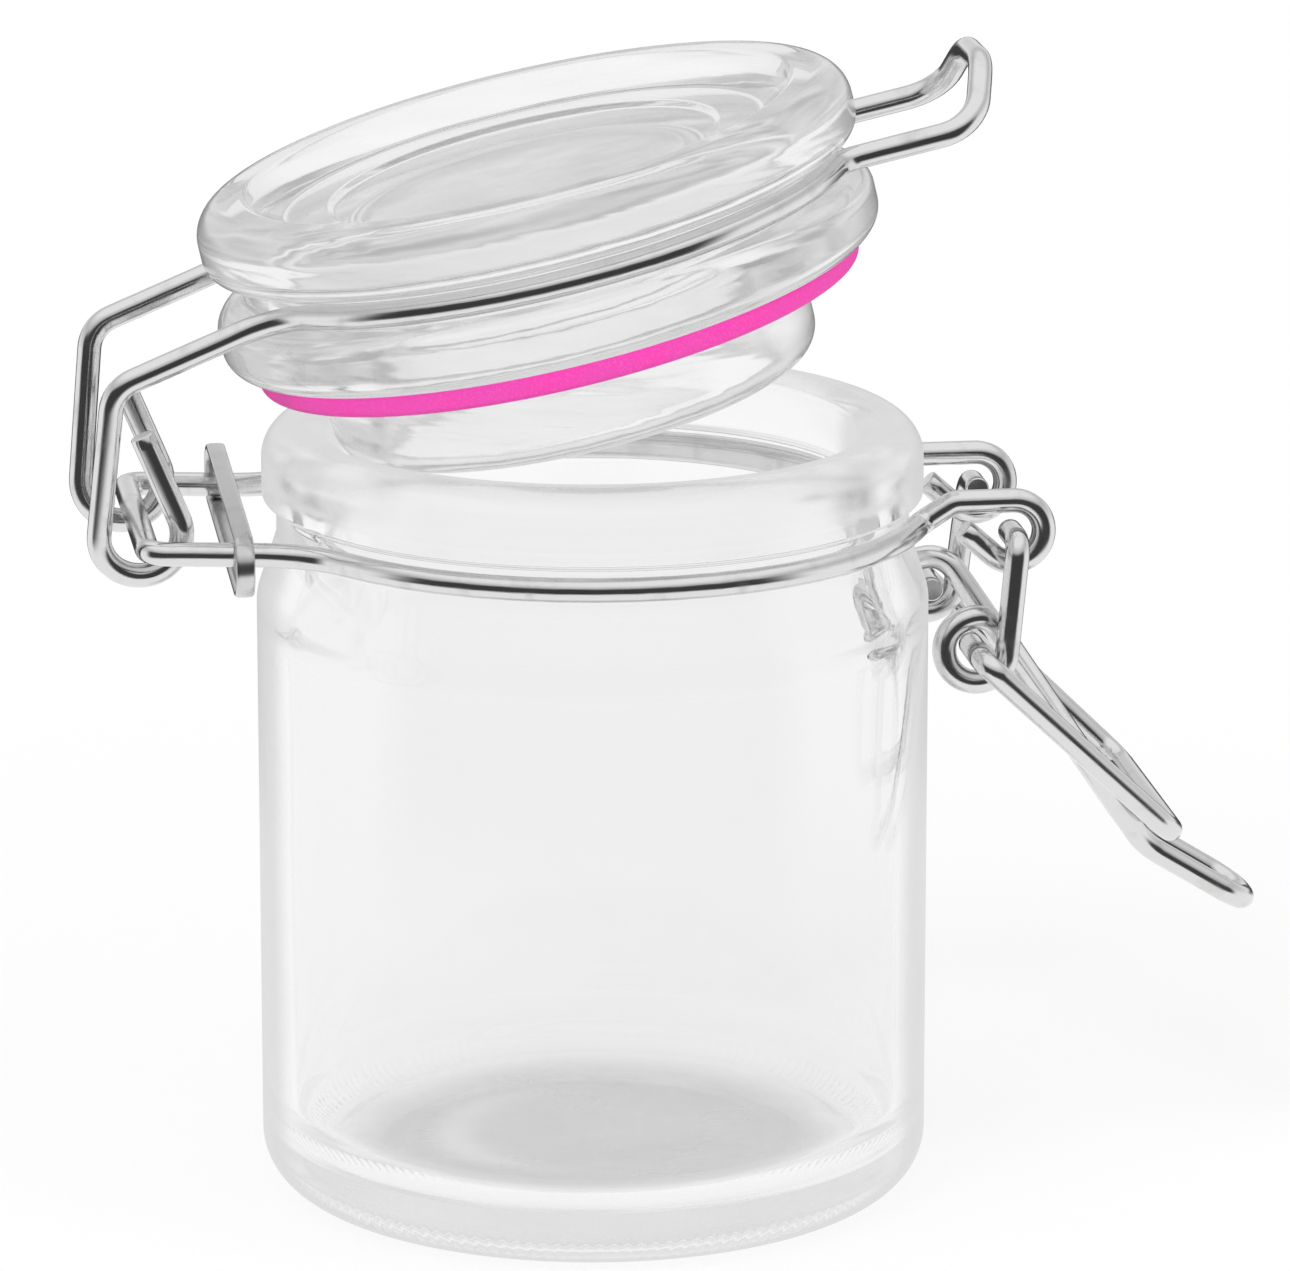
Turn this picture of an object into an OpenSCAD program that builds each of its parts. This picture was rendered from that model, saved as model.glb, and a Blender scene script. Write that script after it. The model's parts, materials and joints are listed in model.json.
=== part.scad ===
// Bail clamp jar: a small glass jar with a glass lid, a rubber sealing ring,
// and a hinge, a locking lever and a clamp loop bent from round wire.
// Millimetres. The jar's axis is Z and its foot stands on Z = 0.
// The hinge is at the back (-X), the clamp is at the front (+X).

/* [Wire] */
// Diameter of the round wire
wire_d = 2; // [1.4:0.1:2.4]
// Gap between two wires that hang in each other
wire_gap = 0.3; // [0.15:0.05:0.6]
// Gap between a wire and the glass groove that it lies in
seat_gap = 0.1; // [0.05:0.05:0.3]
// Centre-line radius of a tight corner
corner_r = 1.6; // [1.2:0.1:2]
// Centre-line radius where an arm flares into a ring
flare_r = 2.5; // [1.5:0.1:4]

/* [Jar] */
// Outside diameter of the body
body_d = 56; // [52:0.5:60]
// Height to the top of the mouth rim
jar_h = 65.6; // [55:0.2:90]
// Thickness of the body wall
wall_t = 2.6; // [1.8:0.1:3.5]
// Thickness of the base at its middle
base_t = 4; // [3:0.1:6]
// Radius of the rounded heel
heel_r = 4.6; // [2:0.1:7]
// Width of the foot ring round the hollow under the base
foot_w = 10; // [8:0.5:18]
// Depth of the hollow under the base
punt_h = 1; // [0.4:0.1:1.6]
// How far the mouth rim's side stands in from the body's
rim_inset = 0.5; // [0:0.1:1.2]
// Height of the mouth rim
rim_h = 6.3; // [5:0.1:7]
// Rounding of the rim's outer edge
rim_round = 3; // [1:0.1:3.2]
// Width of the mouth rim from its side to the mouth
rim_w = 5.4; // [4.8:0.1:7]
// Width of the slope from the rim's top down to the mouth
lip_w = 1.8; // [0.6:0.1:2]
// Drop of that slope
lip_drop = 0.9; // [0.4:0.1:1.4]
// Depth of the neck groove behind the rim's side
groove_depth = 1.2; // [0.8:0.1:2]
// Height of the neck groove
groove_h = 3.2; // [2.6:0.1:4]
// Height of the shoulder below the neck groove
shoulder_h = 5.1; // [3:0.1:8]

/* [Lid] */
// How far the lid's upper rim stands out past the mouth rim
lid_over = 0.1; // [-0.5:0.05:0.5]
// How far the lid's lower flange stands out past its upper rim
flange_over = 0.15; // [-0.3:0.05:0.3]
// Depth of the wire groove behind the flange's edge
lid_groove_depth = 2.95; // [2.2:0.05:3.6]
// Height of the lower flange
flange_h = 5.6; // [4.5:0.1:7]
// Slope of the flange's upper and lower faces, as a drop to its edge
flange_slope = 0.55; // [0.2:0.05:0.8]
// Height of the wire groove
lid_groove_h = 2.6; // [2.2:0.1:3.4]
// Height of the upper rim
lid_rim_h = 5.8; // [5:0.1:8]
// Width of the lid's raised edge
top_edge_w = 7.6; // [6:0.1:11]
// Width of the slope from the raised edge down to the sunk middle
top_slope_w = 3; // [1.5:0.1:4]
// Depth of the sunk middle of the lid's top
top_sink = 2.4; // [1:0.1:3]
// Width of the ledge round the lowest part of the middle
ledge_w = 3.4; // [2:0.1:8]
// Drop from that ledge to the lowest part
ledge_drop = 0.5; // [0.2:0.05:0.8]
// Depth of the plug below the flange
plug_h = 9; // [6:0.1:11]
// Gap between the plug and the mouth
plug_gap = 1.6; // [1.2:0.1:2.5]
// Thickness of the plug's wall
plug_wall = 3.8; // [2.5:0.1:5]
// Thickness of the glass over the plug's hollow
top_t = 5; // [3:0.1:6]
// How much the plug's hollow narrows on its way up
hollow_draft = 1.5; // [0.5:0.1:3]

/* [Gasket] */
// How far the sealing ring's edge lies in from the flange's
gasket_inset = 2.35; // [1:0.05:3.5]
// Thickness of the sealing ring
gasket_t = 1.9; // [1.2:0.1:3]
// Gap between the sealing ring and the mouth rim with the lid shut
seal_gap = 0.25; // [0.1:0.05:0.5]

/* [Back hinge] */
// Distance from the mouth rim back to the crossbar
hinge_reach = 10.5; // [9:0.1:14]
// Height of the crossbar above the neck ring
hinge_rise = 0.6; // [0:0.1:1.5]
// Half the distance between the neck wire's back arms
back_y = 12.5; // [11:0.1:16]
// How far the lid wire's back arms stand in from the neck wire's
lid_arm_inset = 0.3; // [0:0.1:1.5]
// Height of the lid wire's back bends above the crossbar, lid shut
bend_rise = 13.9; // [12:0.1:18]
// How far those bends lie in front of the crossbar
bend_lead = 0.5; // [0:0.1:1]
// Centre-line radius of those bends
bend_r = 3; // [2:0.1:4]
// Centre-line radius of the lid wire's hinge eyes
eye_r = 3.4; // [3.2:0.1:4.5]
// Gap below the crossbar in a hinge eye
eye_gap = 0.4; // [0.3:0.1:1]
// How far a hinge eye's middle lies behind the crossbar
eye_lag = 0.2; // [0:0.1:0.8]
// Height of a hinge eye's tail above the crossbar, lid shut
tail_rise = 9; // [7:0.1:10]
// How far that tail's end lies in front of the crossbar
tail_lead = 1.9; // [0.8:0.1:2.4]
// How far the lid stands open
lid_tilt = 13; // [0:0.5:60]

/* [Nose] */
// Half the distance between the nose's arms
nose_y = 8.4; // [6:0.1:10]
// Reach of the nose in front of the lid's flange
nose_reach = 10.6; // [8:0.1:14]
// Height of the nose's upturned end
nose_h = 4.1; // [3:0.1:7]
// Half the width of the nose's upturned end
nose_tip_y = 3.6; // [3:0.1:6]
// How far the nose's end leans forward from its bends
nose_lean = 2.2; // [0.5:0.1:4]
// Centre-line radius of the nose's bends
nose_r = 2; // [1.6:0.1:2.4]

/* [Front eyes] */
// Half the distance between the neck wire's front eyes
front_y = 8.8; // [7:0.1:10]
// Distance from the neck ring forward to the middle of an eye
front_reach = 6.5; // [6:0.1:9]
// Centre-line radius of a front eye
front_r = 2.6; // [2.5:0.1:3.2]
// Drop of a front eye's middle below the neck ring
front_drop = 0.8; // [0:0.1:1.5]
// How far an arm's step up to its front eye lies in front of the rim
front_step = 1.4; // [1:0.1:2]
// How far a front eye's end lies in front of the arm's step
front_tail = 0.8; // [0.4:0.1:2]

/* [Lever] */
// Gap between a front eye and the bend of the lever's pin
pin_gap = 0.2; // [0.1:0.05:0.6]
// How far a pin reaches in past the middle of its eye
pin_past = 1.4; // [1:0.1:2.5]
// How far a coil's outer turn stands out from the lever's arm at the pin
coil_out = 1; // [0.8:0.1:4]
// Centre-line radius of a coil
coil_r = 2.55; // [2.4:0.05:3.3]
// Gap between the two sides of a coil's turn
turn_gap = 0.5; // [0.4:0.1:1]
// Drop of a coil's middle below the pins
coil_drop = 9.1; // [7:0.1:11]
// Gap between a coil and the jar
coil_gap = 0.7; // [0.4:0.1:1.5]
// Reach from a coil's middle forward to the bend of the handle
lever_reach = 16.2; // [12:0.1:20]
// Drop from a coil's middle to the bend of the handle
lever_drop = 19.6; // [14:0.1:22]
// Half the width of the handle
handle_y = 3.2; // [2.4:0.1:5]
// Centre-line radius of the bend into the handle
handle_r = 6; // [4:0.1:8]
// Length of the handle
handle_l = 10.7; // [8:0.1:16]
// Slope of the handle below level
handle_slope = 31.8; // [25:0.1:40]

/* [Clamp loop] */
// Length from the coils to the end of the loop
loop_l = 23.5; // [20:0.1:26]
// How much each side of the loop draws in towards its end
loop_draw = 3.6; // [0.5:0.1:5]
// How far the loop's ends reach in past the coils
loop_past = 1; // [0.6:0.1:2]
// Centre-line radius of the loop's end corners
loop_r = 2.6; // [1.5:0.1:4]

/* [Cinch clip] */
// Width of the clip's strip
clip_w = 2.6; // [1.6:0.1:4]
// Thickness of the clip's strip
clip_t = 0.6; // [0.4:0.1:0.9]
// How much higher the clip's far end stands than its near end
clip_rise = 1.8; // [0:0.1:2.5]
// Gap between the clip and the mouth rim
clip_gap = 1.5; // [0.6:0.1:2]

/* [Hidden] */
round_steps = 48;
arc_step = 12;
lap = 0.15;
lap_t = 0.025;

// Jar heights and radii
body_r = body_d / 2;
bore_r = body_r - wall_t;
punt_r = body_r - foot_w;
rim_r = body_r - rim_inset;
mouth_r = rim_r - rim_w;
neck_r = rim_r - groove_depth;
rim_z = jar_h - rim_h;
neck_z = rim_z - groove_h / 2;
shoulder_z = neck_z - groove_h / 2 - shoulder_h;
shoulder_round = 4;
bore_round = 5;
lip_round = 0.5;
groove_round = groove_depth * 0.4;

// Lid radii, and heights with the lid shut
lid_r = rim_r + lid_over;
flange_r = lid_r + flange_over;
lid_groove_r = flange_r - lid_groove_depth;
gasket_r = flange_r - gasket_inset;
top_r = lid_r - top_edge_w;
low_r = top_r - ledge_w;
seat_z = jar_h + seal_gap + gasket_t;
flange_z = seat_z + flange_h;
lid_rim_z = flange_z + lid_groove_h;
lid_top_z = lid_rim_z + lid_rim_h;
plug_z = seat_z - plug_h;
plug_r = mouth_r - plug_gap;
hollow_r = plug_r - plug_wall;
ledge_z = lid_top_z - top_sink;
hollow_z = ledge_z - top_t;
lid_wire_z = flange_z + lid_groove_h / 2;
flange_round = flange_h * 0.36;
lid_groove_round = lid_groove_depth / 4;
lid_under_round = lid_groove_depth * 0.6;
lid_top_round = lid_rim_h * 0.48;
plug_round = plug_wall * 0.65;
plug_inner_round = plug_wall / 4;
hollow_round = 2.5;
ledge_round = 1.2;

// Wire ring radii and the hinge axes, as X and Z
neck_ring_r = neck_r + seat_gap + wire_d / 2;
lid_ring_r = lid_groove_r + seat_gap + wire_d / 2;
hinge = [-rim_r - hinge_reach, neck_z + hinge_rise];
front_eye = [neck_ring_r + front_reach, neck_z - front_drop];
pin = front_eye - [0, front_r - wire_d - wire_gap];
pin_y = front_y + wire_d / 2 + corner_r + pin_gap;
coil_y = pin_y + coil_out;
coil_step = wire_d + turn_gap;
coil_clear = coil_r + wire_d / 2 + coil_gap;
coil = [sqrt(pow(body_r, 2) - pow(coil_y - coil_step, 2)) + coil_clear, pin[1] - coil_drop];

// The clamp loop lies on the handle at its own slope
handle_bend = coil + [lever_reach, -lever_drop];
handle_up = [sin(handle_slope), cos(handle_slope)];
loop_lift = wire_d + 4 * wire_gap - (coil - handle_bend) * handle_up;
loop_slope = acos(loop_lift / loop_l) - 90 + handle_slope;

// Vectors
function unit(v) = v / norm(v);
function heading(v) = atan2(v[1], v[0]);
function along(angle) = [cos(angle), sin(angle)];
function positive(angle) = angle - 360 * floor(angle / 360);

// Outline whose corners, given as X, Y and radius, are rounded
function round_corner(a, b, c) =
    let (u = unit([b[0] - a[0], b[1] - a[1]]))
    let (v = unit([c[0] - b[0], c[1] - b[1]]))
    let (turn = atan2(u[0] * v[1] - u[1] * v[0], u * v))
    let (start = [b[0], b[1]] - u * b[2] * tan(abs(turn) / 2))
    let (middle = start + sign(turn) * b[2] * [-u[1], u[0]])
    let (steps = max(1, ceil(abs(turn) / arc_step)))
    let (first = heading(start - middle))
    b[2] == 0 ? [[b[0], b[1]]]
    : [for (i = [0:steps]) middle + b[2] * along(first + turn * i / steps)];

function outline(corners) =
    let (n = len(corners))
    [for (i = [0:n - 1])
        each round_corner(corners[(i + n - 1) % n], corners[i], corners[(i + 1) % n])];

module turned(corners) {
    rotate_extrude($fn = 2 * round_steps)
        polygon(outline(corners));
}

// A wire is a list of corners, each a point and a centre-line bend radius
function at_height(corners, z) = [for (c = corners) [[c[0][0], c[0][1], z], c[1]]];
function at_side(corners, y) = [for (c = corners) [[c[0][0], y, c[0][1]], c[1]]];
function mirrored(corners) = [for (c = corners) [[c[0][0], -c[0][1], c[0][2]], c[1]]];
function reversed(corners) = [for (i = [len(corners) - 1:-1:0]) corners[i]];
function both_sides(half) = concat(reversed(mirrored(half)), half);

// Corners that carry a wire round a circle, from a heading through a turn
function around(middle, r, from, turn, count) =
    let (step = turn / count)
    [for (i = [0:count - 1])
        [middle + r / cos(step / 2) * along(from + step * (i + 0.5) - 90 * sign(turn)), r]];

// The same, stepping sideways on the way
function coiled(middle, r, from, turn, count, y_from, y_to) =
    let (flat = around(middle, r, from, turn, count))
    [for (i = [0:count - 1])
        let (y = y_from + (y_to - y_from) * (i + 0.5) / count)
        [[flat[i][0][0], y, flat[i][0][1]], r]];

// Headings of the lines that touch a circle, from a point or to a point
function heading_onto(point, middle, r, side) =
    heading(middle - point) - side * asin(r / norm(middle - point));
function heading_off(point, middle, r, side) =
    heading(point - middle) + side * asin(r / norm(point - middle));

// Where a straight arm at -Y flares into a ring: the angle on the ring, and the corner
function flare_angle(ring_r, y, end) =
    let (x = sqrt(pow(ring_r + flare_r, 2) - pow(y + flare_r, 2)))
    positive(atan2(-y - flare_r, end * x));
function flare_corner(ring_r, y, end) =
    let (angle = flare_angle(ring_r, y, end))
    let (run = (-y - ring_r * sin(angle)) / cos(angle))
    [[ring_r * cos(angle) - run * sin(angle), -y], flare_r];

// One side of a ring from its back arm to its front arm
function ring_side(ring_r, y_back, y_front) =
    let (from = flare_angle(ring_r, y_back, -1))
    let (to = flare_angle(ring_r, y_front, 1))
    concat(
        [flare_corner(ring_r, y_back, -1)],
        around([0, 0], ring_r, from + 90, to - from, 1),
        [flare_corner(ring_r, y_front, 1)]);

// Puts what follows in a frame given by its origin and two of its axes
module frame(origin, x_axis, y_axis) {
    z_axis = cross(x_axis, y_axis);
    multmatrix([
        [x_axis[0], y_axis[0], z_axis[0], origin[0]],
        [x_axis[1], y_axis[1], z_axis[1], origin[1]],
        [x_axis[2], y_axis[2], z_axis[2], origin[2]],
        [0, 0, 0, 1]])
        children();
}

module rod(start, way, length) {
    side = abs(way[1]) < 0.8 ? [0, 1, 0] : [1, 0, 0];
    x_axis = unit(cross(side, way));
    frame(start, x_axis, cross(way, x_axis))
        cylinder(h = length, d = wire_d, $fn = round_steps);
}

// A bend is a hair thinner than the straight lengths that run into its ends
module elbow(corner, before, after, r) {
    turn = acos(before * after);
    start = corner - before * r * tan(turn / 2);
    inward = unit(after - before * (before * after));
    short = lap / 3 / r * 180 / PI;
    frame(start + inward * r, -inward, before)
        rotate([0, 0, short])
            rotate_extrude(angle = turn - 2 * short, $fn = 2 * round_steps)
                translate([r, 0])
                    circle(d = wire_d - 2 * lap_t, $fn = round_steps);
}

module bent_wire(corners) {
    last = len(corners) - 1;
    way = [for (i = [0:last - 1]) unit(corners[i + 1][0] - corners[i][0])];
    trim = [for (i = [0:last])
        i == 0 || i == last ? 0 : corners[i][1] * tan(acos(way[i - 1] * way[i]) / 2)];
    for (i = [0:last - 1]) {
        length = norm(corners[i + 1][0] - corners[i][0]) - trim[i] - trim[i + 1];
        back = i == 0 ? 0 : lap;
        ahead = i == last - 1 ? 0 : lap;
        rod(corners[i][0] + way[i] * (trim[i] - back), way[i], length + back + ahead);
    }
    for (i = [1:last - 1])
        elbow(corners[i][0], way[i - 1], way[i], corners[i][1]);
}

// Carries what moves with the lid from shut to where it stands
module lid_pose() {
    translate([hinge[0], 0, hinge[1]])
        rotate([0, -lid_tilt, 0])
            translate([-hinge[0], 0, -hinge[1]])
                children();
}

module jar() {
    color("lightcyan", 0.4)
        turned([
            [0, punt_h, 0],
            [punt_r - 2 * punt_h, punt_h, punt_h],
            [punt_r, 0, 0],
            [body_r, 0, heel_r],
            [body_r, shoulder_z, shoulder_round],
            [neck_r, rim_z - groove_h, groove_round],
            [neck_r, rim_z, groove_round],
            [rim_r, rim_z, groove_round],
            [rim_r, jar_h, rim_round],
            [mouth_r + lip_w, jar_h, lip_round],
            [mouth_r, jar_h - lip_drop, lip_round],
            [mouth_r, neck_z, shoulder_round],
            [bore_r, shoulder_z - wall_t, bore_round],
            [bore_r, base_t, bore_round],
            [0, base_t, 0]]);
}

module lid() {
    lid_pose()
        color("lightcyan", 0.4)
        turned([
            [0, hollow_z, 0],
            [hollow_r - hollow_draft, hollow_z, hollow_round],
            [hollow_r, plug_z, plug_inner_round],
            [plug_r, plug_z, plug_round],
            [plug_r, seat_z, 0],
            [gasket_r, seat_z, 0],
            [flange_r, seat_z + flange_slope, flange_round],
            [flange_r, flange_z - flange_slope, flange_round],
            [lid_groove_r, flange_z, lid_groove_round],
            [lid_groove_r, lid_rim_z, lid_groove_round],
            [lid_r, lid_rim_z, lid_under_round],
            [lid_r, lid_top_z, lid_top_round],
            [top_r + top_slope_w, lid_top_z, ledge_round],
            [top_r, ledge_z, ledge_round],
            [low_r, ledge_z, 0],
            [low_r - ledge_drop, ledge_z - ledge_drop, 0],
            [0, ledge_z - ledge_drop, 0]]);
}

module gasket() {
    edge = gasket_t / 4;
    inner_r = plug_r + seat_gap;
    low_z = seat_z - gasket_t;
    lid_pose()
        color("hotpink")
        turned([
            [inner_r, low_z, 0],
            [gasket_r, low_z, edge],
            [gasket_r, seat_z, edge],
            [inner_r, seat_z, 0]]);
}

module lid_wire() {
    eye_y = back_y - corner_r - wire_d / 2 - wire_gap;
    lid_back_y = back_y - lid_arm_inset;
    eye = hinge + [-eye_lag, eye_r - wire_d - eye_gap];
    bend = hinge + [bend_lead, bend_rise];
    tail = hinge + [tail_lead, tail_rise];
    onto = heading_onto(bend, eye, eye_r, 1);
    off = heading_off(tail, eye, eye_r, 1);
    nose_x = flange_r + nose_reach;
    half = concat(
        [[[nose_x, -nose_tip_y, lid_wire_z + nose_h], nose_r],
         [[nose_x - nose_lean, -nose_y, lid_wire_z], nose_r]],
        reversed(at_height(ring_side(lid_ring_r, lid_back_y, nose_y), lid_wire_z)),
        [[[bend[0], -lid_back_y, bend[1]], bend_r]],
        at_side(around(eye, eye_r, onto, positive(off - onto), 2), -eye_y),
        [[[tail[0], -eye_y, tail[1]], 0]]);
    lid_pose()
        color("silver")
        bent_wire(both_sides(half));
}

module neck_wire() {
    ring = ring_side(neck_ring_r, back_y, front_y);
    knee = [rim_r + front_step, front_eye[1] + front_r];
    onto = heading_onto(knee, front_eye, front_r, -1);
    tail = knee + [front_tail, -wire_d - wire_gap];
    off = heading_off(tail, front_eye, front_r, -1);
    half = concat(
        [[[hinge[0], -back_y, hinge[1]], corner_r]],
        at_height([ring[0], ring[1], [ring[2][0], corner_r]], neck_z),
        [[[knee[0], -front_y, knee[1]], corner_r]],
        at_side(around(front_eye, front_r, onto, -positive(onto - off), 3), -front_y),
        [[[tail[0], -front_y, tail[1]], 0]]);
    color("silver")
        bent_wire(both_sides(half));
}

module cinch_clip() {
    inner_h = wire_d / 2 + clip_rise / 2 + seat_gap;
    lean = atan(clip_rise / (2 * back_y));
    end_y = back_y / cos(lean);
    foot_x = flare_corner(neck_ring_r, back_y, -1)[0][0];
    clip_x = -rim_r - clip_gap - clip_w;
    arm_rise = hinge_rise * (clip_x + clip_w / 2 - foot_x) / (hinge[0] - foot_x);
    module link(r) {
        for (side = [-1, 1])
            translate([side * end_y, 0])
                circle(r = r, $fn = round_steps);
        translate([-end_y, -r])
            square([2 * end_y, 2 * r]);
    }
    color("lightgray")
        translate([clip_x, 0, neck_z + arm_rise])
            rotate([lean, 0, 0])
                rotate([90, 0, 90])
                    linear_extrude(clip_w)
                        difference() {
                            link(inner_h + clip_t);
                            link(inner_h);
                        }
}

module lever() {
    tip = handle_bend + handle_l * [cos(handle_slope), -sin(handle_slope)];
    onto = heading_onto(handle_bend, coil, coil_r, 1);
    off = heading_off(pin, coil, coil_r, 1);
    inner_y = -coil_y + coil_step;
    tip_r = handle_y * 0.9;
    half = concat(
        [[[tip[0], -handle_y, tip[1]], tip_r],
         [[handle_bend[0], -handle_y, handle_bend[1]], handle_r]],
        coiled(coil, coil_r, onto, positive(off - onto), 4, inner_y, -coil_y),
        [[[pin[0], -pin_y, pin[1]], corner_r],
         [[pin[0], -front_y + pin_past, pin[1]], 0]]);
    color("silver")
        bent_wire(both_sides(half));
}

module clamp_loop() {
    arm_y = coil_y + wire_d + 2 * wire_gap + loop_draw * (coil_r + wire_d) / loop_l;
    loop_y = arm_y - loop_draw;
    tip = coil + loop_l * along(-loop_slope);
    half = [
        [[tip[0], -loop_y, tip[1]], loop_r],
        [[coil[0], -arm_y, coil[1]], corner_r],
        [[coil[0], -coil_y + coil_step + loop_past, coil[1]], 0]];
    color("silver")
        bent_wire(both_sides(half));
}

jar();
lid();
gasket();
lid_wire();
neck_wire();
cinch_clip();
lever();
clamp_loop();
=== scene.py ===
"""Looks of a small clear glass jar with a glass lid, a pink sealing ring and a bent-wire hinge and clamp.

The sizes are those of the solids, in millimetres, with the jar's foot at the origin. Here the back flares
and the nose bend more gently, edges are a little rounder and the clip is a flattened wire. Every mesh is
scaled to metres as it is made.
"""

import itertools
import json
import math

import bmesh
import bpy
from mathutils import Matrix, Vector


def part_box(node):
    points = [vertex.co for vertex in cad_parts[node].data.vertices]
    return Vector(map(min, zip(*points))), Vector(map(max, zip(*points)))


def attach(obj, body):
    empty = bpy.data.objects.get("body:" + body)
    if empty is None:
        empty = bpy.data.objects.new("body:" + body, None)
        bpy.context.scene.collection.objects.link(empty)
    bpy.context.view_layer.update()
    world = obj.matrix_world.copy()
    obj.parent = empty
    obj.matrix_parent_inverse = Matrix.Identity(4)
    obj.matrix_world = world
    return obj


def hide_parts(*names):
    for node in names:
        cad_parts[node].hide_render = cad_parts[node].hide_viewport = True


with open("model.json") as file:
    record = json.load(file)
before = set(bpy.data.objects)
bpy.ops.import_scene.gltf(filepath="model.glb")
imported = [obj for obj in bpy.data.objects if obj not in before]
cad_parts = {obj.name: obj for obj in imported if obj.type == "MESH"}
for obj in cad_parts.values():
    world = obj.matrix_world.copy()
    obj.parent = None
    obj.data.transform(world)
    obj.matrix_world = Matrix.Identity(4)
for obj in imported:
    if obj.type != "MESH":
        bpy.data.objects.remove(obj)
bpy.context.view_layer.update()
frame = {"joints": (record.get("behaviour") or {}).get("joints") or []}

MM = 0.001
joints = {joint["name"]: joint for joint in frame["joints"]}

# Wire
wire_d = 2.0
wire_gap = 0.3
seat_gap = 0.1
corner_r = 1.6
flare_r = 2.5
back_flare_r = 8.0
cut_edge = 0.12

# Jar
body_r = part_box("jar")[1].y / MM
jar_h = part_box("jar")[1].z / MM
wall_t = 2.6
base_t = 4.0
heel_r = 4.6
punt_r = 18.0
punt_h = 1.0
punt_edge = 0.4
rim_r = 27.5
rim_h = 6.3
rim_round = 3.0
mouth_r = 22.1
lip_w = 1.8
lip_drop = 0.9
lip_round = 0.5
neck_r = 26.3
groove_h = 3.2
groove_round = 0.48
shoulder_h = 5.1
shoulder_round = 4.0
bore_round = 5.0

# Lid and sealing ring
lid_r = 27.6
lid_rim_h = 5.8
lid_top_round = 2.8
lid_under_round = 1.8
lid_groove_r = 24.8
lid_groove_h = 2.6
lid_groove_round = 0.7
flange_r = 27.75
flange_h = 5.6
flange_slope = 0.55
flange_round = 2.0
top_r = 20.0
top_slope_w = 3.0
top_slope_round = 1.2
top_sink = 2.4
top_t = 5.0
ledge_w = 3.4
ledge_drop = 0.5
ledge_edge = 0.4
plug_h = 9.0
plug_gap = 1.6
plug_wall = 3.8
plug_round = 2.5
plug_inner_round = 0.9
hollow_draft = 1.5
hollow_round = 2.5
seat_edge = 0.2
gasket_r = 25.4
gasket_t = 1.9
seal_gap = 0.25
air_film = 0.04

# Hinge, nose and front eyes
back_y = 12.5
lid_back_y = 12.2
bend_rise = 13.9
bend_lead = 0.5
bend_r = 3.0
eye_r = 3.4
eye_gap = 0.4
eye_lag = 0.2
tail_rise = 9.0
tail_lead = 1.9
nose_y = 8.4
nose_reach = 10.6
nose_h = 4.1
nose_tip_y = 3.6
nose_lean = 2.2
nose_r = 4.2
front_y = 8.8
front_reach = 6.5
front_r = 2.6
front_drop = 0.8
front_step = 1.4
front_tail = 0.8

# Lever and clamp loop
pin_y = 11.6
pin_past = 1.4
coil_y = 12.6
coil_r = 2.55
coil_step = 2.5
lever_reach = 16.2
lever_drop = 19.6
handle_y = 3.2
handle_r = 6.0
handle_l = 10.7
handle_tip_r = 2.88
handle_slope = math.radians(31.8)
loop_l = 23.5
loop_draw = 3.6
loop_past = 1.0
loop_r = 2.6

# Clip
clip_w = 2.6
clip_t = 0.6
clip_rise = 1.8
clip_gap = 1.5
taper_share = 0.4
taper_l = 5.0

# Marks in the jar's glass
rim_fade = 2.0
foot_fade = 4.0
base_lead = 2.0
base_fade = 8.0
tick_h = 2.0
tick_fade = 1.4
tick_w = 3.5
tick_edge = 1.5
# a painted highlight crescent in the base, on the -X side
crescent_r = 12.0
crescent_w = 3.0
crescent_turn = 10.0

# Heights and radii that follow
bore_r = body_r - wall_t
rim_z = jar_h - rim_h
neck_z = rim_z - groove_h / 2
shoulder_z = rim_z - groove_h - shoulder_h
seat_z = jar_h + seal_gap + gasket_t
flange_z = seat_z + flange_h
lid_rim_z = flange_z + lid_groove_h
lid_top_z = lid_rim_z + lid_rim_h
ledge_z = lid_top_z - top_sink
low_r = top_r - ledge_w
plug_z = seat_z - plug_h
plug_r = mouth_r - plug_gap
hollow_r = plug_r - plug_wall
hollow_z = ledge_z - top_t
lid_wire_z = flange_z + lid_groove_h / 2
neck_ring_r = neck_r + seat_gap + wire_d / 2
lid_ring_r = lid_groove_r + seat_gap + wire_d / 2


def pivot(joint):
    """X and Z of a hinge axis, in millimetres."""
    x, _, z = joints[joint]["pos_m"]
    return Vector((x / MM, z / MM))


hinge = pivot("lid_hinge")
pin = pivot("lever_pivot")
coil = pivot("loop_pivot")
handle_bend = coil + Vector((lever_reach, -lever_drop))
front_eye = Vector((neck_ring_r + front_reach, neck_z - front_drop))
lid_tilt = math.radians(-joints["lid_hinge"]["range_deg"][0])
hinge_at = Vector((hinge.x, 0, hinge.y)) * MM
lid_pose = (
    Matrix.Translation(hinge_at)
    @ Matrix.Rotation(-lid_tilt, 4, "Y")
    @ Matrix.Translation(-hinge_at)
)


# Shader maths

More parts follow.
